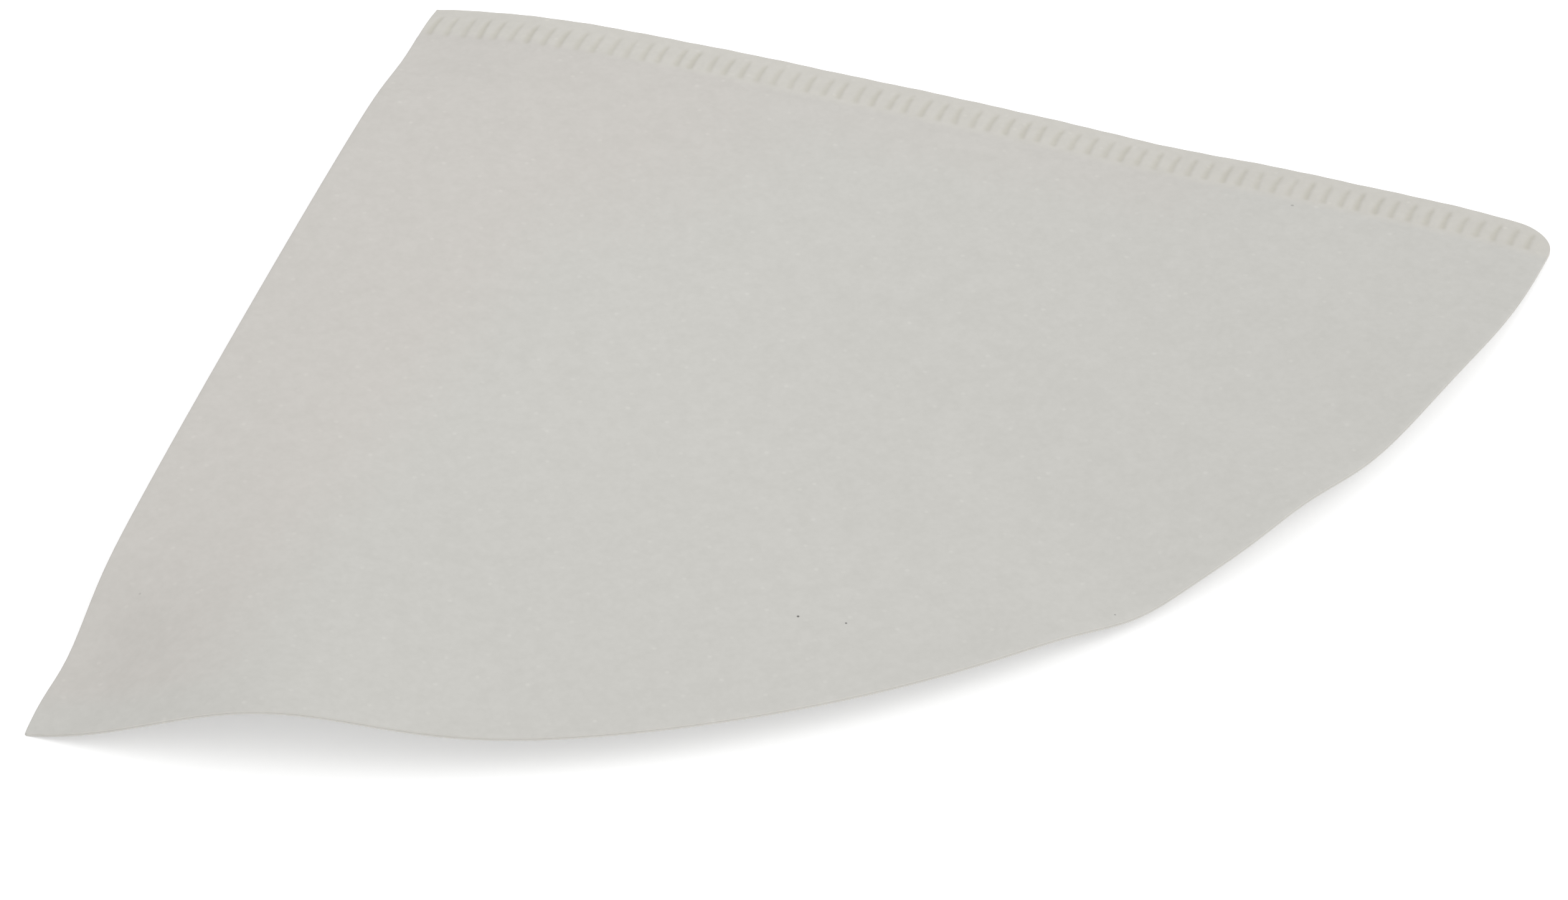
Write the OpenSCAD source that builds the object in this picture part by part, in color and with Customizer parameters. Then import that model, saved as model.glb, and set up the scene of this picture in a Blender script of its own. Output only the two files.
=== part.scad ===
// Paper coffee filter for a cone dripper, lying flat as it comes from the pack.
// One sheet of filter paper is folded in half along one straight side, and the two plies
// are crimped together along the other. The curved edge stays open: it is the mouth.

/* [Folded sheet] */
// Length of the two straight sides, from the tip to the mouth
side_length = 125; // [95:1:160]
// Angle at the tip, between the folded side and the crimped side
tip_angle = 90; // [80:1:100]
// Radius of the trimmed corner where the crimped side meets the mouth
corner_radius = 4; // [3:0.5:12]
// Thickness of one ply of paper
ply_thickness = 0.2; // [0.12:0.02:0.4]
// Air between the two plies inside the pocket
ply_gap = 0.08; // [0.04:0.02:0.2]

/* [Crimped seam] */
// Width of the strip along the side where the plies are pressed into one
seam_width = 6.5; // [6:0.5:12]
// Margin from the cut edge to the row of crimps
crimp_margin = 1.2; // [0.8:0.1:2]
// Length of one crimp, across the seam
crimp_length = 3.7; // [2:0.1:4]
// Width of a crimp at its outer end, along the seam
crimp_width = 0.7; // [0.4:0.1:1.2]
// Width of a crimp at its inner end
crimp_inner_width = 1.1; // [0.4:0.1:1.3]
// Depth that a crimp is pressed down
crimp_depth = 0.15; // [0.05:0.01:0.3]
// Length of the slope at each end of a crimp
crimp_ramp = 0.5; // [0.2:0.1:0.8]
// Distance from one crimp to the next
crimp_pitch = 1.84; // [1.5:0.02:4]
// Lean of the crimps toward the mouth, in degrees
crimp_lean = 4; // [-15:1:15]
// Plain length between the fold and the first crimp
crimp_start = 0.3; // [0.2:0.1:4]
// Least plain length between the last crimp and the mouth
crimp_stop = 0.4; // [0.2:0.1:6]

/* [Mouth] */
// Extra air between the plies along the mouth
mouth_gap = 0.05; // [0:0.05:1.5]
// More air between the plies under the hump of the mouth
hump_gap = 0.05; // [0:0.05:2]
// Place of the hump, in degrees from the folded side
hump_place = 9.5; // [7:0.5:30]
// Height of the hump
hump_height = 7.2; // [0:0.1:9]
// Half width of the hump, in degrees
hump_width = 7.5; // [4:0.5:10]
// How fast the waves of the mouth die out toward the tip
wave_fade = 5; // [2:0.5:8]

/* [Lie on the table] */
// Height that the paper would keep at the tip if the tip did not bend down
tip_lift = 3.2; // [2:0.1:8]
// The same at the corner between the seam and the mouth
seam_lift = 0.9; // [0.4:0.1:6]
// The same at the corner between the fold and the mouth
fold_lift = 6; // [2:0.1:9]
// Distance over which the tip bends down to the table
tip_reach = 8.5; // [4:0.5:14]
// The same at the seam corner
seam_reach = 3; // [2:0.5:16]
// The same at the fold corner
fold_reach = 20; // [8:0.5:24]
// Depth of the dip in the folded side, next to its corner at the mouth
fold_dip = 6.6; // [0:0.2:8]
// Distance of that dip from the corner
fold_dip_place = 10; // [6:0.5:20]
// Radius of that dip
fold_dip_radius = 8; // [4:0.5:12]

/* [Hidden] */

// Lesser waves of the mouth: degrees from the seam, height, half width in degrees.
mouth_waves = [[14.5, 2, 6.5], [26.5, 1.7, 4], [37, -1.5, 3.3]];

// A shallow dip in the crimped side: place as a share of the side, depth and radius.
seam_dip_share = 0.65;
seam_dip = 0.4;
seam_dip_radius = 10;

// A dip beside the tip, near the fold: place, depth and radius.
tip_dip_at = [1, 9.5];
tip_dip = 1.5;
tip_dip_radius = 7;

// Steps of the surfaces: round the fan, out along each ray, and along the plain margin.
fan_steps = 36;
ray_steps = 22;
nose_steps = 4;

// The folded edge is rounded over half the thickness of the closed pocket.
nose = ply_thickness + ply_gap / 2;

// Plan of the sheet: u runs along the crimped side from the tip, v runs from that side
// across the sheet. The fold leaves the tip at tip_angle from the seam.
seam_dir = [1, 0];
fold_dir = [cos(tip_angle), sin(tip_angle)];
fold_out = [-sin(tip_angle), cos(tip_angle)];

// Trimmed corner: centre of its arc, and the point of the arc that reaches out farthest.
trim_u = sqrt(pow(side_length - corner_radius, 2) - pow(corner_radius, 2));
trim_tangent = corner_radius * side_length / (side_length - corner_radius);
trim_point = [trim_u, corner_radius] + corner_radius * [1, -1] / sqrt(2);

// Where a line at distance v from the crimped side starts at the fold and ends at the mouth.
function start_u(v) = (v * cos(tip_angle) + nose) / sin(tip_angle);
function end_u(v) = v < trim_tangent
    ? trim_u + sqrt(pow(corner_radius, 2) - pow(corner_radius - v, 2))
    : sqrt(pow(side_length, 2) - v * v);

// The three corners that touch the table, each with the direction from it into the sheet.
tip_point = [start_u(0), 0];
fold_point = nose * -fold_out + sqrt(pow(side_length, 2) - nose * nose) * fold_dir;
tip_inward = [cos(tip_angle / 2), sin(tip_angle / 2)];
seam_inward = [-1, 1] / sqrt(2);
fold_inward = -(fold_dir + fold_out) / sqrt(2);

// How much of a corner's bend is left at a point: 1 at the corner, falling off inward.
function bend(p, corner, inward, reach) = exp(-max(0, (p - corner) * inward) / reach);

// A wave of the mouth, cone-shaped with its point at the tip of the filter.
function wave(angle, place, height, width) = height * exp(-pow((angle - place) / width, 2));
function waves(angle) = wave(angle, tip_angle - hump_place, hump_height, hump_width)
    + sum([for (w = mouth_waves) wave(angle, w[0], w[1], w[2])]);
function sum(list) = list * [for (x = list) 1];

// A round dip, deepest in its middle, and the three dips of the sheet.
function dip(p, centre, depth, radius) = depth * exp(-pow(norm(p - centre) / radius, 2));
function dips(p) = dip(p, (side_length - fold_dip_place) * fold_dir, fold_dip, fold_dip_radius)
    + dip(p, seam_dip_share * side_length * seam_dir, seam_dip, seam_dip_radius)
    + dip(p, tip_dip_at, tip_dip, tip_dip_radius);

// Height of the middle of the sheet, level between the three lifts.
function middle(p) = let (along_fold = p[1] / sin(tip_angle),
                          along_seam = p[0] - along_fold * cos(tip_angle))
    tip_lift + (seam_lift - tip_lift) * along_seam / side_length
             + (fold_lift - tip_lift) * along_fold / side_length;

// Height of the underside over the table. The seam corner stands on its crimps.
function underside(p) = let (
        at_tip = bend(p, tip_point, tip_inward, tip_reach),
        at_seam = bend(p, trim_point, seam_inward, seam_reach),
        at_fold = bend(p, fold_point, fold_inward, fold_reach),
        swell = waves(atan2(p[1], p[0])) * pow(norm(p) / side_length, wave_fade))
    max(0, (middle(p) + swell - dips(p)) * (1 - at_tip - at_seam - at_fold))
    + crimp_depth * at_seam;

// Air between the plies on a ray of the fan: a film inside, parted toward the mouth, and
// closed again at the seam and at the fold.
function air(p, angle) = ply_gap
    + (mouth_gap + wave(angle, tip_angle - hump_place, hump_gap, hump_width))
    * min(1, angle / 10) * min(1, (tip_angle - angle) / 8) * pow(norm(p) / side_length, 6);

// Crimps: the row starts near the fold and takes as many as fit before the plain length at
// the mouth. Each leans about its middle by crimp_sway.
crimp_top = crimp_margin;
crimp_bottom = crimp_margin + crimp_length;
crimp_middle = (crimp_top + crimp_bottom) / 2;
crimp_sway = crimp_length / 2 * tan(abs(crimp_lean));
crimp_side = max(crimp_width, crimp_inner_width) / 2 + crimp_sway;
first_crimp = max(start_u(crimp_top), start_u(crimp_bottom)) + crimp_start + crimp_side;
crimp_room = end_u(crimp_top) - crimp_stop - crimp_side - first_crimp;
crimps = floor(crimp_room / crimp_pitch) + 1;
function crimp_width_at(v) = crimp_width
    + (crimp_inner_width - crimp_width) * (v - crimp_top) / crimp_length;

// Rows of the seam strip, from the fold to the mouth. Each point is [u, v, pressed depth].
function plain_row(v, steps) = [for (k = [0 : steps])
    [start_u(v) + (end_u(v) - start_u(v)) * k / steps, v, 0]];
function crimp_row(v, depth) = let (lean = (crimp_middle - v) * tan(crimp_lean))
    concat([[start_u(v), v, 0]],
           [for (i = [0 : crimps - 1], side = [-1 : 1])
               [first_crimp + i * crimp_pitch + lean + side * crimp_width_at(v) / 2, v,
                side == 0 ? depth : 0]],
           [[end_u(v), v, 0]]);
seam_rows = [plain_row(0, ceil(crimps / 2)),
             plain_row(crimp_margin / 4, ceil(crimps / 2)),
             crimp_row(crimp_top, 0),
             crimp_row(crimp_top + crimp_ramp, crimp_depth),
             crimp_row(crimp_middle, crimp_depth),
             crimp_row(crimp_bottom - crimp_ramp, crimp_depth),
             crimp_row(crimp_bottom, 0)];

// The pocket is a fan of rays from the inner end of the seam strip at the fold.
pole = [start_u(seam_width), seam_width];
function ray_angle(j) = tip_angle * j / fan_steps;
function ray_length(angle) = let (d = pole * [cos(angle), sin(angle)])
    sqrt(d * d - pole * pole + pow(side_length, 2)) - d;
// Points lie closer together at both ends of a ray, where the paper bends most.
function ray_share(k) = k / ray_steps / 2 + (1 - cos(180 * k / ray_steps)) / 4;
function ray_point(j, k) = let (a = ray_angle(j))
    pole + ray_share(k) * ray_length(a) * [cos(a), sin(a)];

// Place in space: the tip points away along +Y, and the outline is centred on the origin.
reach_left = side_length * sin(tip_angle / 2);
reach_right = trim_u * sin(tip_angle / 2) - corner_radius * cos(tip_angle / 2) + corner_radius;
tip_at = [(reach_left - reach_right) / 2, side_length / 2];
function place(p, z) = let (a = tip_angle / 2)
    [tip_at[0] + p[0] * sin(a) - p[1] * cos(a), tip_at[1] - p[0] * cos(a) - p[1] * sin(a), z];

// Every point of the plan: the seam rows, the pole, then the rays without the pole.
seam_plan = [for (row = seam_rows) each row];
fan_plan = concat([[pole, 0]], [for (j = [0 : fan_steps], k = [1 : ray_steps])
                                [ray_point(j, k), ray_angle(j)]]);
function flat(q) = [q[0], q[1]];

// Heights: outer faces of both plies, then the inner faces of the pocket.
seam_low = [for (q = seam_plan) underside(flat(q)) - q[2]];
fan_low = [for (q = fan_plan) underside(q[0])];
fan_air = [for (q = fan_plan) air(q[0], q[1])];
low = concat([for (i = [0 : len(seam_plan) - 1]) place(flat(seam_plan[i]), seam_low[i])],
             [for (i = [0 : len(fan_plan) - 1]) place(fan_plan[i][0], fan_low[i])]);
high = concat([for (p = [for (i = [0 : len(seam_plan) - 1]) low[i]])
                  p + [0, 0, 2 * ply_thickness]],
              [for (i = [0 : len(fan_plan) - 1])
                  place(fan_plan[i][0], fan_low[i] + 2 * ply_thickness + fan_air[i])]);
function pocket_edge(i) = i == 0 || i <= ray_steps || i > fan_steps * ray_steps;
roof = [for (i = [0 : len(fan_plan) - 1]) place(fan_plan[i][0], fan_low[i] + ply_thickness
            + fan_air[i] * (pocket_edge(i) ? 0.5 : 1))];
bed = [for (i = [0 : len(fan_plan) - 1]) if (!pocket_edge(i))
            place(fan_plan[i][0], fan_low[i] + ply_thickness)];

// Numbers of the points: rows of the seam strip and rays of the fan on each face.
plan_count = len(low);
pole_id = len(seam_plan);
function row_first(r) = r == 0 ? 0 : row_first(r - 1) + len(seam_rows[r - 1]);
function row_ids(r) = [for (k = [0 : len(seam_rows[r]) - 1]) row_first(r) + k];
function ray_ids(j) = [for (k = [0 : ray_steps]) pole_id + (k == 0 ? 0 : j * ray_steps + k)];
function lower(ids) = [for (i = ids) i + plan_count];
function roof_ids(j) = [for (i = ray_ids(j)) i - pole_id + 2 * plan_count];
function bed_ids(j) = j == 0 || j == fan_steps ? roof_ids(j)
    : [for (k = [0 : ray_steps]) k == 0 ? 2 * plan_count
        : 2 * plan_count + len(roof) + (j - 1) * ray_steps + k - 1];

// The folded side, from the tip to the mouth, and the round nose of paper that bends over it.
last_row = len(seam_rows) - 1;
fold_ids = concat([for (r = [0 : last_row]) row_first(r)], ray_ids(fan_steps));
nose_first = 2 * plan_count + len(roof) + len(bed);
nose_points = [for (m = [1 : nose_steps - 1], i = fold_ids) let (a = 180 * m / nose_steps,
        outward = place(fold_out, 0) - place([0, 0], 0))
    (high[i] + low[i]) / 2 + (high[i] - low[i]) / 2 * cos(a) + nose * sin(a) * outward];
function nose_ids(m) = m == 0 ? fold_ids : m == nose_steps ? lower(fold_ids)
    : [for (i = [0 : len(fold_ids) - 1]) nose_first + (m - 1) * len(fold_ids) + i];

// Triangles between two rows with equal counts, clockwise seen from above.
function ladder(a, b) = [for (k = [0 : len(a) - 2]) each
    [if (a[k] != b[k]) [a[k], b[k + 1], b[k]], [a[k], a[k + 1], b[k + 1]]]];
// The same between rows with different counts: each step meets the nearest point opposite.
function stitch(a, b, ua, ub) = let (
        near = [for (k = [0 : len(a) - 2])
            len([for (m = [0 : len(b) - 2]) if (ub[m] + ub[m + 1] < ua[k] + ua[k + 1]) m])])
    concat([for (k = [0 : len(a) - 2]) [a[k], a[k + 1], b[near[k]]]],
           [for (m = [0 : len(b) - 2]) [b[m + 1], b[m], a[len([for (n = near) if (n <= m) n])]]]);
function flip(faces) = [for (f = faces) [f[2], f[1], f[0]]];
// An upright wall between an upper and a lower row, its outer side left of the way along it.
function wall(a, b) = flip(ladder(a, b));
function reverse(list) = [for (i = [len(list) - 1 : -1 : 0]) list[i]];
function last(list) = list[len(list) - 1];

// One whole face of the filter: the seam strip stitched to the fan.
function row_u(r) = [for (q = seam_rows[r]) q[0]];
function seam_face() = concat(
    ladder(row_ids(0), row_ids(1)),
    stitch(row_ids(1), row_ids(2), row_u(1), row_u(2)),
    [for (r = [2 : last_row - 1]) each ladder(row_ids(r), row_ids(r + 1))],
    stitch(row_ids(last_row), ray_ids(0), row_u(last_row),
           [for (k = [0 : ray_steps]) ray_point(0, k)[0]]));
function fan_face(rays) = [for (j = [0 : fan_steps - 1]) each ladder(rays[j], rays[j + 1])];
rays = [for (j = [0 : fan_steps]) ray_ids(j)];
roof_rays = [for (j = [0 : fan_steps]) roof_ids(j)];
bed_rays = [for (j = [0 : fan_steps]) bed_ids(j)];
face = concat(seam_face(), fan_face(rays));

// Edges: the cut seam side, the mouth past the seam and round the fan, the fold, and the
// small faces that end the fold's nose at the mouth and at the tip.
seam_ends = [for (r = [0 : last_row]) last(row_ids(r))];
mouth = [for (ray = rays) last(ray)];
roof_mouth = [for (ray = roof_rays) last(ray)];
bed_mouth = [for (ray = bed_rays) last(ray)];
function fold_walls() = [for (m = [0 : nose_steps - 1]) each
    wall(reverse(nose_ids(m)), reverse(nose_ids(m + 1)))];
function fan_out(centre, ring) = [for (k = [0 : len(ring) - 2]) [centre, ring[k], ring[k + 1]]];
mouth_corner = [mouth[0], last(seam_ends), last(lower(seam_ends)), lower(mouth)[0]];
nose_at_mouth = [for (m = [nose_steps : -1 : 0]) last(nose_ids(m))];
nose_at_tip = [for (m = [1 : nose_steps]) nose_ids(m)[0]];
edges = concat(wall(row_ids(0), lower(row_ids(0))),
               wall(seam_ends, lower(seam_ends)),
               fan_out(roof_mouth[0], mouth_corner),
               wall(mouth, roof_mouth), wall(bed_mouth, lower(mouth)),
               fan_out(last(roof_mouth), nose_at_mouth),
               fold_walls(),
               fan_out(fold_ids[0], nose_at_tip));

// The whole filter is one closed solid of paper round one open pocket.
module filter() {
    color([0.80, 0.80, 0.78])
    polyhedron(points = concat(high, low, roof, bed, nose_points),
               faces = concat(face, flip([for (f = face) lower(f)]),
                              flip(fan_face(roof_rays)), fan_face(bed_rays), edges),
               convexity = 6);
}

filter();
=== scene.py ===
from math import radians

import bmesh
import bpy
import numpy as np
from mathutils import Matrix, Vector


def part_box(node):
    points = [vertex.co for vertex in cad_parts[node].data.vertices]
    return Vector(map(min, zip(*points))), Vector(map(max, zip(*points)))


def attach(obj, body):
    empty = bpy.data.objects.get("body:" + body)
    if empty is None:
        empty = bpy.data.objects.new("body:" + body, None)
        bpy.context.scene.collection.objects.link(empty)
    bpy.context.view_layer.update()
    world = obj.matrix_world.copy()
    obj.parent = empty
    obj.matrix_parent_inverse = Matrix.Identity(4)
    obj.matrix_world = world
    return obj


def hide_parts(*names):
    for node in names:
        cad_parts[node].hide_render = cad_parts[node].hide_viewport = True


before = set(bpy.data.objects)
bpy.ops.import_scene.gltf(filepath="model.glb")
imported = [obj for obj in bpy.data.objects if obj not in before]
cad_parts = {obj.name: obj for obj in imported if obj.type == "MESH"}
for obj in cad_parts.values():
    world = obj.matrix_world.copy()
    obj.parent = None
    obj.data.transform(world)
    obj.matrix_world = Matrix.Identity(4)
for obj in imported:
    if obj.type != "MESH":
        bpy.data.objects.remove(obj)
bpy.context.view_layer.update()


# The camera looks down on the flat filter from the left of its mouth, from about 0.9 m away
# with a long lens, so that the straight sides stay nearly parallel. It frames the filter
# high and wide, as it lies in the photograph.
camera_target = (-0.0020, -0.0236, 0.0030)
camera_distance = 0.9168
camera_azimuth = 28.64
camera_elevation = 39.58
camera_roll = 1.25

camera_data = bpy.data.cameras.new("camera")
camera_data.sensor_width = 36
camera_data.lens = 206.9
camera = bpy.data.objects.new("camera", camera_data)
camera.matrix_world = (
    Matrix.Translation(camera_target)
    @ Matrix.Rotation(radians(-camera_azimuth), 4, "Z")
    @ Matrix.Rotation(radians(90 - camera_elevation), 4, "X")
    @ Matrix.Rotation(radians(camera_roll), 4, "Z")
    @ Matrix.Translation((0, 0, camera_distance))
)
bpy.context.collection.objects.link(camera)
bpy.context.scene.camera = camera


# The filter is a half disc of soft white filter paper, folded once through its middle. The
# fold is one straight side, and the two plies are crimped together along the other. It is
# die-cut, so its curved mouth and its one trimmed corner are clean.
low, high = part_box("filter")
side = round(high.y - low.y, 4)
trim_radius = 0.004
ply = 0.0002
film = 0.00008
fold_nose = ply + film / 2

# The tip is the far point of the filter, and the sheet is turned about it by 45 degrees, of
# which slant is the sine and the cosine. From the tip, u runs along the crimped side and v
# square to it, along the fold.
slant = np.sqrt(0.5)
tip_x = low.x + side * slant
tip_y = high.y


def place(u, v, z):
    """Points in the frame, from u and v on the sheet and the height: u and v turned by 45
    degrees and counted from the tip."""
    return np.stack([tip_x + slant * (u - v), tip_y - slant * (u + v), z], axis=-1)


def sheet_uv(points):
    """u and v of points in the frame: place() turned round."""
    dx, dy = points[..., 0] - tip_x, tip_y - points[..., 1]
    return slant * (dy + dx), slant * (dy - dx)


# Outline: the trimmed corner is an arc that touches the crimped side and the mouth.
trim_u = np.sqrt((side - trim_radius) ** 2 - trim_radius**2)
trim_end = trim_radius * side / (side - trim_radius)


def mouth_u(v):
    """u where the line at distance v from the crimped side meets the outline: on the arc of
    the trimmed corner up to its end, and past that on the circle about the tip."""
    corner = trim_u + np.sqrt(np.maximum(0, trim_radius**2 - (trim_radius - v) ** 2))
    circle = np.sqrt(np.maximum(0, side**2 - v**2))
    return np.where(v < trim_end, corner, circle)


# The lie of the sheet: the middle is raised, the three corners bend down to the table, each
# straight side dips a little, the fold most beside its corner, and the mouth is waved, with
# a hump near the fold. Angles are in degrees from the crimped side, lengths in metres.
lift_tip, lift_seam, lift_fold = 0.0032, 0.0009, 0.0060
reach_tip, reach_seam, reach_fold = 0.0085, 0.003, 0.020
hump_angle, hump_height, hump_width = 80.5, 0.0072, 7.5
mouth_waves = ((14.5, 0.0020, 6.5), (26.5, 0.0017, 4), (37, -0.0015, 3.3))
wave_growth = 5
fold_dip, fold_dip_place, fold_dip_radius = 0.0066, 0.010, 0.008
seam_dip, seam_dip_share, seam_dip_radius = 0.0004, 0.65, 0.010
tip_dip, tip_dip_u, tip_dip_v, tip_dip_radius = 0.0015, 0.001, 0.0095, 0.007
crimp_depth = 0.00015


def swell(angle, at, size, width):
    """A wave of the mouth over the angle from the crimped side: a bell curve."""
    return size * np.exp(-(((angle - at) / width) ** 2))


def dip(u, v, at_u, at_v, depth, radius):
    """A round dip or patch: a bell curve of the distance from its middle."""
    return depth * np.exp(-((u - at_u) ** 2 + (v - at_v) ** 2) / radius**2)


def bend(u, v, corner_u, corner_v, toward_u, toward_v, reach):
    """How much of a corner's bend is left: 1 at the corner, and falling off by e over each
    reach along the diagonal into the sheet."""
    inward = ((u - corner_u) * toward_u + (v - corner_v) * toward_v) * slant
    return np.exp(-np.maximum(0, inward) / reach)


def underside(u, v):
    """Height of the sheet's underside: a plane through the three lifts plus the waves, which
    grow with the fifth power of distance from the tip, less the three dips, times what the
    corner bends leave of it. The seam corner stands on its crimps."""
    distance, angle = np.hypot(u, v), np.degrees(np.arctan2(v, u))
    plane = lift_tip + (lift_seam - lift_tip) * u / side + (lift_fold - lift_tip) * v / side
    waves = swell(angle, hump_angle, hump_height, hump_width)
    for at, size, width in mouth_waves:
        waves = waves + swell(angle, at, size, width)
    waves = waves * (distance / side) ** wave_growth
    dips = dip(u, v, 0, side - fold_dip_place, fold_dip, fold_dip_radius)
    dips = dips + dip(u, v, seam_dip_share * side, 0, seam_dip, seam_dip_radius)
    dips = dips + dip(u, v, tip_dip_u, tip_dip_v, tip_dip, tip_dip_radius)
    corner = trim_radius * slant
    at_tip = bend(u, v, fold_nose, 0, 1, 1, reach_tip)
    at_seam = bend(u, v, trim_u + corner, trim_radius - corner, -1, 1, reach_seam)
    at_fold = bend(u, v, fold_nose, side, 1, -1, reach_fold)
    left = 1 - at_tip - at_seam - at_fold
    return np.maximum(0, (plane + waves - dips) * left) + crimp_depth * at_seam


# The plies lie on each other with a film of air between, and part a little toward the
# mouth, most under the hump. At its very edge the knife has pressed them together again.
mouth_gap, hump_gap, gap_growth = 0.00005, 0.00005, 6
seam_closing, fold_closing = 10, 8
cut_gap, cut_reach = 0.00002, 0.0006


def fading(value, end, reach):
    """1 where the value is a reach or more below the end, 0 from the end on, and a straight
    fall between."""
    return np.clip((end - value) / reach, 0, 1)


def air(u, v, ray):
    """Air between the plies: the film, plus a gap that grows toward the mouth with the sixth
    power of distance and closes over the last degrees at the seam and the fold. Over the
    last reach before the edge it shrinks to the cut's own gap."""
    distance = np.hypot(u, v)
    spread = (distance / side) ** gap_growth
    spread = spread * np.clip(ray / seam_closing, 0, 1) * fading(ray, 90, fold_closing)
    gap = film + (mouth_gap + swell(ray, hump_angle, hump_gap, hump_width)) * spread
    near = 1 - fading(distance, side, cut_reach)
    return gap + (cut_gap - gap) * near**2


# Crimps: a row of short bars pressed into the strip where the plies are joined. Each is
# narrow at its outer end and wide at its inner end, and no two are pressed quite alike.
seam_width = 0.0065
crimp_count, crimp_pitch, first_crimp = 67, 0.00184, 0.00105
crimp_top, crimp_length, crimp_fade_in, crimp_fade_out = 0.0009, 0.0041, 0.0010, 0.0009
crimp_outer_width, crimp_inner_width = 0.00075, 0.0014
crimp_lean, crimp_curve = np.tan(radians(4)), 50
gentle_side, steep_side = 0.8, 1.2
tip_drift, tip_stretch, tip_stretch_reach = 0.0004, 0.18, 0.025
shift_spread, row_bow, row_back = 0.00007, 0.0002, 0.0001
force, force_spread, least_force, most_force = 0.85, 0.09, 0.6, 1.1
skew_spread = 0.025

chance = np.random.default_rng(4)
row_share = np.linspace(-1, 1, crimp_count)
crimp_shift = chance.normal(0, shift_spread, crimp_count) + row_bow * row_share**2 - row_back
crimp_force = np.clip(chance.normal(force, force_spread, crimp_count), least_force, most_force)
crimp_skew = chance.normal(0, skew_spread, crimp_count)


def crimp(u, v):
    """Depth of the crimps from 0 to about 1: bars one pitch apart with rounded sides, of
    which the side toward the tip is gentler. Each leans toward the mouth with its own skew,
    curves along a parabola and fades in and out over its ends. Next to the tip the row lies
    a little farther in and its bars are longer."""
    by_tip = np.exp(-((u / tip_stretch_reach) ** 4))
    row = (v - crimp_top - tip_drift * by_tip) / (1 + tip_stretch * by_tip)
    inward = row - crimp_length / 2
    along = u + inward * crimp_lean - crimp_curve * inward**2 - first_crimp
    number = np.clip(np.round(along / crimp_pitch), 0, crimp_count - 1).astype(int)
    half = (crimp_outer_width + (crimp_inner_width - crimp_outer_width) * row / crimp_length) / 2
    off = along - number * crimp_pitch - crimp_shift[number] + inward * crimp_skew[number]
    across = np.abs(off) / half * np.where(off < 0, gentle_side, steep_side)
    bar = 0.5 + 0.5 * np.cos(np.pi * np.minimum(across, 1))
    window = np.clip(row / crimp_fade_in, 0, 1) * fading(row, crimp_length, crimp_fade_out)
    return crimp_force[number] * bar * window * window * (3 - 2 * window)


# The knife has cut the crimped side a little unevenly, by less than a tenth of a millimetre:
# each swing has a length along the side, a size and a start in radians.
edge_swings = ((0.0031, 0.000018, 0.4), (0.0074, 0.000022, 2.1), (0.019, 0.00003, 5.0))
edge_inset, corner_calm = 0.00004, 0.004


def uneven_edge(u, v):
    """v moved by a sum of three sines along the edge and by the inset, which die out over
    the margin before the crimps and toward both corners."""
    swing = 0
    for length, size, start in edge_swings:
        swing = swing + size * np.sin(2 * np.pi * u / length + start)
    away = np.clip(np.minimum(u, trim_u - u) / corner_calm, 0, 1)
    return v + (swing + edge_inset) * away * fading(v, crimp_top, crimp_top)


# Grids: the seam strip has fine columns for the crimps, and the pocket is a fan of rays
# from the inner end of that strip at the fold. The strip's rows lie closest together next
# to the cut edge and where the crimps begin and end.
fine_steps, ray_steps, fan_steps = 840, 70, 180
strip_share = np.linspace(0, 1, fine_steps + 1)
strip_v = np.array([0, 0.05, 0.15, 0.35, 0.65, 0.9, 1.1, 1.3, 1.5, 1.7, 1.9, 2.2, 2.6, 3.1,
                    3.6, 4.0, 4.2, 4.4, 4.6, 4.8, 5.0, 5.2, 5.4, 5.7, 6.1]) / 1000

share, strip_rows = np.meshgrid(strip_share, strip_v)
strip_u = fold_nose + (mouth_u(strip_rows) - fold_nose) * share
strip_low = underside(strip_u, strip_rows) - crimp_depth * crimp(strip_u, strip_rows)
cut_v = uneven_edge(strip_u, strip_rows)

# Along a ray the steps are even, but short next to the mouth, where the cut presses the edge.
ray_share = np.append(np.linspace(0, 0.99, ray_steps - 2), (0.995, 0.998, 1))
share, ray = np.meshgrid(ray_share, np.linspace(0, 90, fan_steps + 1))
ray_cos, ray_sin = np.cos(np.radians(ray)), np.sin(np.radians(ray))
foot = fold_nose * ray_cos + seam_width * ray_sin
ray_length = np.sqrt(foot**2 - fold_nose**2 - seam_width**2 + side**2) - foot
fan_u = fold_nose + share * ray_length * ray_cos
fan_v = seam_width + share * ray_length * ray_sin
fan_low = underside(fan_u, fan_v)
fan_air = air(fan_u, fan_v, ray)

# Inside the pocket the two plies meet in one line along the seam, the fold and the pole.
closed = (ray == 0) | (ray == 90) | (share == 0)
bed_z = fan_low + ply + np.where(closed, film / 2, 0)
roof_z = fan_low + ply + np.where(closed, film / 2, fan_air)
strip_top = place(strip_u, cut_v, strip_low + 2 * ply)
strip_under = place(strip_u, cut_v, strip_low)
fan_top = place(fan_u, fan_v, fan_low + 2 * ply + fan_air)
fan_under = place(fan_u, fan_v, fan_low)
roof = place(fan_u, fan_v, roof_z)
bed = place(fan_u, fan_v, bed_z)

points = []
faces = []


def next_number():
    """The number of the next point: how many points the list's arrays hold together."""
    return sum(len(part) for part in points)


def add_grid(grid):
    """Adds a grid of points and the four-sided faces between its rows, and returns the
    numbers of its points in the same grid."""
    ids = next_number() + np.arange(grid.shape[0] * grid.shape[1]).reshape(grid.shape[:2])
    points.append(grid.reshape(-1, 3))
    corners = [ids[:-1, :-1], ids[:-1, 1:], ids[1:, 1:], ids[1:, :-1]]
    faces.extend(np.stack(corners, -1).reshape(-1, 4).tolist())
    return ids


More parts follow.
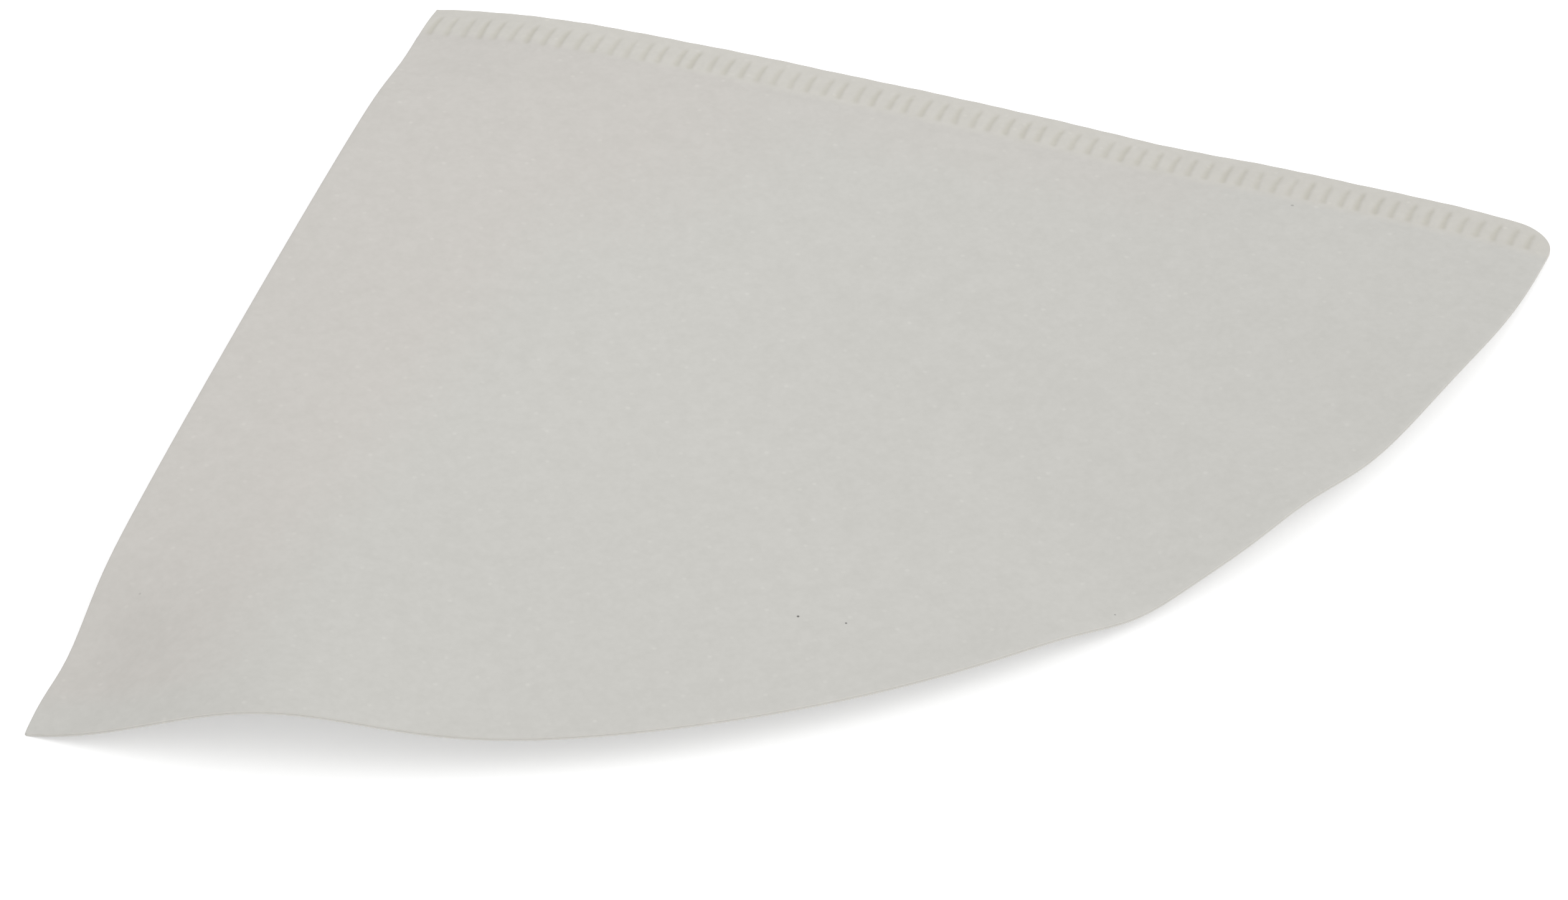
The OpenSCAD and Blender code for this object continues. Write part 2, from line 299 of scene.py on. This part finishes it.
def add_zip(fine, coarse):
    """Triangles between the strip's last row and the fan's first ray: each step of the strip
    meets the ray's point that is nearest to it, and each step of the ray closes the gap
    between two such groups."""
    middles = (strip_share[:-1] + strip_share[1:]) / 2
    nearest = np.abs(middles[:, None] - ray_share).argmin(axis=1)
    faces.extend(np.stack([fine[:-1], fine[1:], coarse[nearest]], -1).tolist())
    group_end = np.searchsorted(nearest, np.arange(ray_steps), side="right")
    faces.extend(np.stack([coarse[:-1], fine[group_end], coarse[1:]], -1).tolist())


top_strip_ids = add_grid(strip_top)
top_fan_ids = add_grid(fan_top)
low_strip_ids = add_grid(strip_under)
low_fan_ids = add_grid(fan_under)
add_grid(roof)
add_grid(bed)
add_zip(top_strip_ids[-1], top_fan_ids[0])
add_zip(low_strip_ids[-1], low_fan_ids[0])

# Cut edges: the crimped side and the mouth past the strip are one laminate, and round the
# fan each ply has an edge of its own.
add_grid(np.stack([strip_top[0], strip_under[0]]))
add_grid(np.stack([strip_top[:, -1], strip_under[:, -1]]))
add_grid(np.stack([fan_top[:, -1], roof[:, -1]]))
add_grid(np.stack([bed[:, -1], fan_under[:, -1]]))

# The fold: paper bends round a nose as deep as half the closed pocket, in eight steps.
fold_steps = 8
fold_top = np.concatenate([strip_top[:, 0], fan_top[0, :1], fan_top[-1, 1:]])
fold_under = np.concatenate([strip_under[:, 0], fan_under[0, :1], fan_under[-1, 1:]])
turn = np.radians(np.linspace(0, 180, fold_steps + 1))[:, None, None]
outward = place(-1.0, 0.0, 0.0) - place(0.0, 0.0, 0.0)
nose = (fold_top + fold_under) / 2 + fold_nose * np.sin(turn) * outward
nose = nose + (fold_top - fold_under) / 2 * np.cos(turn)
add_grid(nose)

# Small faces close the nose at both ends and the seam's end at the mouth.
seam_end = next_number()
fold_end = seam_end + 1
points.append(np.stack([roof[0, -1], roof[-1, -1]]))
mouth_ring = next_number() + np.arange(len(nose))
points.append(nose[:, -1])
tip_ring = next_number() + np.arange(len(nose))
points.append(nose[:, 0])
faces.extend([[fold_end, int(a), int(a) + 1] for a in mouth_ring[:-1]])
faces.extend([[int(tip_ring[0]), int(a), int(a) + 1] for a in tip_ring[1:-1]])
faces.append([int(top_strip_ids[-1, -1]), seam_end, int(top_fan_ids[0, -1])])
faces.append([int(low_strip_ids[-1, -1]), int(low_fan_ids[0, -1]), seam_end])
faces.append([int(top_strip_ids[-1, -1]), int(low_strip_ids[-1, -1]), seam_end])
mesh = bpy.data.meshes.new("filter_paper")
mesh.from_pydata(np.concatenate(points), [], faces)

# Rows that meet share their points, so they are merged, and then all faces point outward.
work = bmesh.new()
work.from_mesh(mesh)
bmesh.ops.remove_doubles(work, verts=work.verts, dist=1e-6)
bmesh.ops.recalc_face_normals(work, faces=work.faces)
work.to_mesh(mesh)
open_edges = sum(1 for edge in work.edges if not edge.is_manifold)
work.free()
print("filter_paper:", len(mesh.polygons), "faces,", open_edges, "open edges")
mesh.shade_smooth()
mesh.set_sharp_from_angle(angle=radians(40))

# Tones of the paper: a smooth band lies along the seam, and the paper is warm by the fold,
# up to just before the mouth, by the tip and, more faintly, by the seam. Each zone has the
# line where it ends and the reach over which it fades.
band_end, band_fade = 0.0057, 0.0011
fold_warm_end, fold_warm_taper, fold_warm_fade = 0.033, 0.1, 0.009
mouth_warm_end, mouth_warm_fade = 0.1225, 0.004
tip_warm_end, tip_warm_fade = 0.052, 0.016
seam_warm_end, seam_warm_length, seam_warm_fade, seam_warmth = 0.016, 0.092, 0.008, 0.6

# Painted light: the paper's colour is made lightest inside, toward the fold, and darker toward
# the far mouth, as the light falls off across the sheet. It also has a paler patch in its middle
# and a duller one before the hump.
lightest_u, lightest_v, fall_u, fall_v = 0.02, 0.035, 4.5, 3.2
light_patches = ((0.047, 0.060, 0.010, 0.014), (0.025, 0.097, -0.018, 0.015))

co = np.empty(len(mesh.vertices) * 3)
mesh.vertices.foreach_get("co", co)
paper_u, paper_v = sheet_uv(co.reshape(-1, 3))
from_tip = np.hypot(paper_u, paper_v)
by_fold = fading(paper_u + fold_warm_taper * paper_v, fold_warm_end, fold_warm_fade)
by_fold = by_fold * fading(from_tip, mouth_warm_end, mouth_warm_fade)
by_tip = fading(from_tip, tip_warm_end, tip_warm_fade)
by_seam = seam_warmth * fading(paper_v, seam_warm_end, seam_warm_fade)
by_seam = by_seam * fading(paper_u, seam_warm_length, seam_warm_fade)
banded = fading(paper_v, band_end, band_fade)
painted_light = 1 - fall_u * (paper_u - lightest_u) ** 2 - fall_v * (paper_v - lightest_v) ** 2
for at_u, at_v, change, radius in light_patches:
    painted_light = painted_light + dip(paper_u, paper_v, at_u, at_v, change, radius)

# Each point keeps how far it is pressed, which also sets the crimps' painted shade, its part in
# each tone, and its painted light.
tones = {
    "pressed": crimp(paper_u, paper_v),
    "banded": banded,
    "warm": np.maximum(np.maximum(by_fold, by_tip), by_seam) * (1 - banded),
    "painted_light": painted_light,
}
for name, values in tones.items():
    tone = mesh.attributes.new(name, "FLOAT", "POINT")
    tone.data.foreach_set("value", values.astype(np.float32))

# The upright faces away from the fold are the cut edges, which get painted light: their colour
# is made lighter, as light falls on these upright sides. A face counts as upright where its
# normal points up or down by less than 30 degrees.
facing = np.empty(len(mesh.polygons) * 3)
mesh.polygons.foreach_get("normal", facing)
middle = np.empty(len(mesh.polygons) * 3)
mesh.polygons.foreach_get("center", middle)
from_fold = sheet_uv(middle.reshape(-1, 3))[0]
upward = facing.reshape(-1, 3)[:, 2]
cut = (np.abs(upward) < np.sin(radians(30))) & (from_fold > 2 * fold_nose)
tone = mesh.attributes.new("cut", "FLOAT", "FACE")
tone.data.foreach_set("value", cut.astype(np.float32))

# The paper is matt and nearly even: a warm grey-white with soft broad clouds, a fine grain
# of fibres, pale flecks, and a few dark specks on its top face. Pressing has made the band
# along the seam a little lighter and the crimps tan; the crimps' tint also paints the shade in
# their grooves. The sheet's broad light and its lighter cut edges are painted light.
paper = bpy.data.materials.new("filter_paper")
paper.use_nodes = True
nodes, links = paper.node_tree.nodes, paper.node_tree.links
shader = nodes["Principled BSDF"]
shader.inputs["Roughness"].default_value = 0.9
shader.inputs["Specular IOR Level"].default_value = 0.25
where = nodes.new("ShaderNodeTexCoord")


def noise(scale, detail):
    """Noise on the object's own coordinates, with features one part in scale of a metre
    across."""
    grain = nodes.new("ShaderNodeTexNoise")
    grain.inputs["Scale"].default_value = scale
    grain.inputs["Detail"].default_value = detail
    links.new(where.outputs["Object"], grain.inputs["Vector"])
    return grain.outputs["Fac"]


def tinted(colour, mask, tint):
    """The colour times the tint where the mask is 1, and unchanged where it is 0."""
    mix = nodes.new("ShaderNodeMix")
    mix.data_type = "RGBA"
    mix.blend_type = "MULTIPLY"
    mix.inputs["B"].default_value = (*tint, 1)
    links.new(mask, mix.inputs["Factor"])
    links.new(colour, mix.inputs["A"])
    return mix.outputs["Result"]


def span(value, zero_at, one_at):
    """The value spread to 0 at one end and 1 at the other, and clamped."""
    ramp = nodes.new("ShaderNodeMapRange")
    ramp.inputs["From Min"].default_value = zero_at
    ramp.inputs["From Max"].default_value = one_at
    links.new(value, ramp.inputs["Value"])
    return ramp.outputs["Result"]


def kept(name):
    """One of the values that the mesh keeps on its points or faces."""
    attribute = nodes.new("ShaderNodeAttribute")
    attribute.attribute_name = name
    return attribute.outputs["Fac"]


# Clouds, small clouds and fibres, each with its scale, detail, ends of the noise and tint.
grains = (
    (28, 2, 0.35, 0.65, (0.989, 0.989, 0.989)),
    (430, 3, 0.35, 0.65, (0.975, 0.975, 0.973)),
    (1300, 3, 0.30, 0.70, (0.965, 0.965, 0.963)),
)
tints = {
    "banded": (1.038, 1.025, 1.008),
    "warm": (1.007, 0.987, 0.985),
    # The crimps' tint is their tan together with painted shade in their grooves.
    "pressed": (0.9, 0.895, 0.858),
    # The cut edges' tint is painted light on their upright faces.
    "cut": (1.12, 1.11, 1.1),
}
plain = nodes.new("ShaderNodeRGB")
plain.outputs["Color"].default_value = (0.635, 0.6265, 0.594, 1)
colour = plain.outputs["Color"]
for scale, detail, zero_at, one_at, tint in grains:
    colour = tinted(colour, span(noise(scale, detail), zero_at, one_at), tint)
for name, tint in tints.items():
    colour = tinted(colour, kept(name), tint)

# One pale fleck lies in each cell of about 4 mm, and the cell's own chance colour says how
# strong it is. Its rim and core are shares of a cell.
fleck_scale, fleck_rim, fleck_core = 260, 0.08, 0.03
fleck_tint = (1.07, 1.07, 1.07)
cells = nodes.new("ShaderNodeTexVoronoi")
cells.voronoi_dimensions = "2D"
cells.inputs["Scale"].default_value = fleck_scale
links.new(where.outputs["Object"], cells.inputs["Vector"])
fleck = nodes.new("ShaderNodeMath")
fleck.operation = "MULTIPLY"
links.new(span(cells.outputs["Distance"], fleck_rim, fleck_core), fleck.inputs[0])
links.new(cells.outputs["Color"], fleck.inputs[1])
colour = tinted(colour, fleck.outputs[0], fleck_tint)

# The painted light and shade of the sheet, multiplied into its colour.
painted_light_mix = nodes.new("ShaderNodeMix")
painted_light_mix.data_type = "RGBA"
painted_light_mix.blend_type = "MULTIPLY"
painted_light_mix.inputs["Factor"].default_value = 1
links.new(colour, painted_light_mix.inputs["A"])
links.new(kept("painted_light"), painted_light_mix.inputs["B"])
colour = painted_light_mix.outputs["Result"]

# Specks of bark in the paper: place along the seam and the fold, radius, and how dark.
specks = (
    (0.0683, 0.0888, 0.00018, 0.25),
    (0.0731, 0.0882, 0.00015, 0.3),
    (0.0976, 0.0764, 0.00015, 0.6),
    (0.0975, 0.0061, 0.00024, 0.72),
    (0.0049, 0.1054, 0.00018, 0.85),
)
for speck_u, speck_v, radius, dark in specks:
    speck_z = underside(speck_u, speck_v) + 2 * ply + film
    gap = nodes.new("ShaderNodeVectorMath")
    gap.operation = "DISTANCE"
    gap.inputs[1].default_value = place(speck_u, speck_v, speck_z)
    links.new(where.outputs["Object"], gap.inputs[0])
    colour = tinted(colour, span(gap.outputs["Value"], radius, radius / 2), (dark, dark, dark))
links.new(colour, shader.inputs["Base Color"])

# The fibres' own relief, a few hundredths of a millimetre deep.
relief_scale, relief_detail, relief_depth = 1400, 4, 0.00003
relief = nodes.new("ShaderNodeBump")
relief.inputs["Strength"].default_value = 0.25
relief.inputs["Distance"].default_value = relief_depth
links.new(noise(relief_scale, relief_detail), relief.inputs["Height"])
links.new(relief.outputs["Normal"], shader.inputs["Normal"])
mesh.materials.append(paper)

sheet = bpy.data.objects.new("filter_paper", mesh)
bpy.context.collection.objects.link(sheet)
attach(sheet, "root")
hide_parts("filter")


# The ground is plain white. The camera sees it a little brighter than the light makes it,
# so that it is white all round, and the filter's shadow still shows on it.
ground_reach = 3.0
ground_boost = 0.4
ground_mesh = bpy.data.meshes.new("ground")
ground_corners = [(-1, -1), (1, -1), (1, 1), (-1, 1)]
ground_points = [(x * ground_reach, y * ground_reach, 0) for x, y in ground_corners]
ground_mesh.from_pydata(ground_points, [], [(0, 1, 2, 3)])
ground_paint = bpy.data.materials.new("ground")
ground_paint.use_nodes = True
nodes, links = ground_paint.node_tree.nodes, ground_paint.node_tree.links
shader = nodes["Principled BSDF"]
shader.inputs["Base Color"].default_value = (0.9, 0.9, 0.9, 1)
shader.inputs["Roughness"].default_value = 1
shader.inputs["Specular IOR Level"].default_value = 0
shader.inputs["Emission Color"].default_value = (1, 1, 1, 1)
rays = nodes.new("ShaderNodeLightPath")
brighter = rays.outputs["Is Camera Ray"]
for kind in ("Is Glossy Ray", "Is Transmission Ray"):
    either = nodes.new("ShaderNodeMath")
    either.operation = "MAXIMUM"
    links.new(brighter, either.inputs[0])
    links.new(rays.outputs[kind], either.inputs[1])
    brighter = either.outputs[0]
boost = nodes.new("ShaderNodeMath")
boost.operation = "MULTIPLY"
boost.inputs[1].default_value = ground_boost
links.new(brighter, boost.inputs[0])
links.new(boost.outputs[0], shader.inputs["Emission Strength"])
ground_mesh.materials.append(ground_paint)
ground = bpy.data.objects.new("ground", ground_mesh)
bpy.context.collection.objects.link(ground)


# Soft studio light: an even white surround, and one broad lamp from the front right.
lamp_azimuth, lamp_tilt, lamp_distance = 45, 45, 7.2
world = bpy.data.worlds.new("surround")
bpy.context.scene.world = world
world.use_nodes = True
surround = world.node_tree.nodes["Background"]
surround.inputs["Color"].default_value = (1, 1, 1, 1)
surround.inputs["Strength"].default_value = 0.86

lamp_data = bpy.data.lights.new("broad_lamp", "AREA")
lamp_data.shape = "DISK"
lamp_data.size = 5.4
lamp_data.energy = 103
lamp = bpy.data.objects.new("broad_lamp", lamp_data)
lamp.matrix_world = (
    Matrix.Rotation(radians(lamp_azimuth), 4, "Z")
    @ Matrix.Rotation(radians(lamp_tilt), 4, "X")
    @ Matrix.Translation((0, 0, lamp_distance))
)
bpy.context.collection.objects.link(lamp)

bpy.context.scene.view_settings.view_transform = "Standard"
